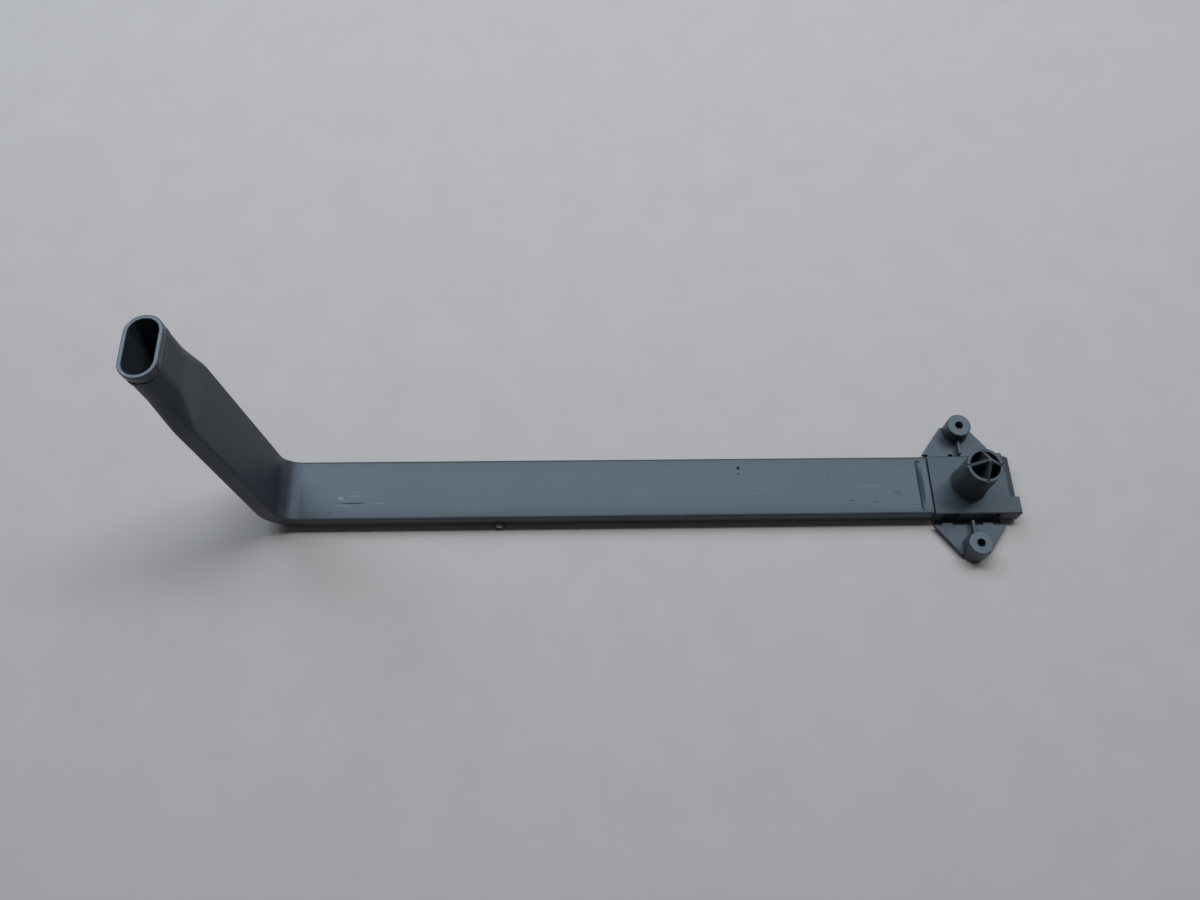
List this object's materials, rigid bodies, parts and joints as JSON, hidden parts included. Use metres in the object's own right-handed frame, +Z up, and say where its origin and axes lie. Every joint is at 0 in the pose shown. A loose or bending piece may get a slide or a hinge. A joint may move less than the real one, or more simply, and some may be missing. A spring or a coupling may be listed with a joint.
{
  "type": "dishwasher conduit",
  "caption": "Flat water duct that bends up into a leg with an oval mouth, joined to a snap-together manifold with an upright nozzle and screw wings.",
  "frame": {"origin": "under the nozzle's axis, on the flat underside that the part rests on", "axes": "+X along the flat run towards the manifold's closed end, +Y across the run, +Z up along the nozzle"},
  "size_m": [0.3988, 0.0776, 0.1518],
  "materials": {
    "slate_plastic": "dark slate-grey moulded polypropylene, satin gloss, with fine lengthwise flow streaks and light scuffs"
  },
  "bodies": {
    "root": {"conduit_tube": "slate_plastic", "manifold_cover": "slate_plastic", "mounting_base": "slate_plastic"}
  },
  "joints": []
}
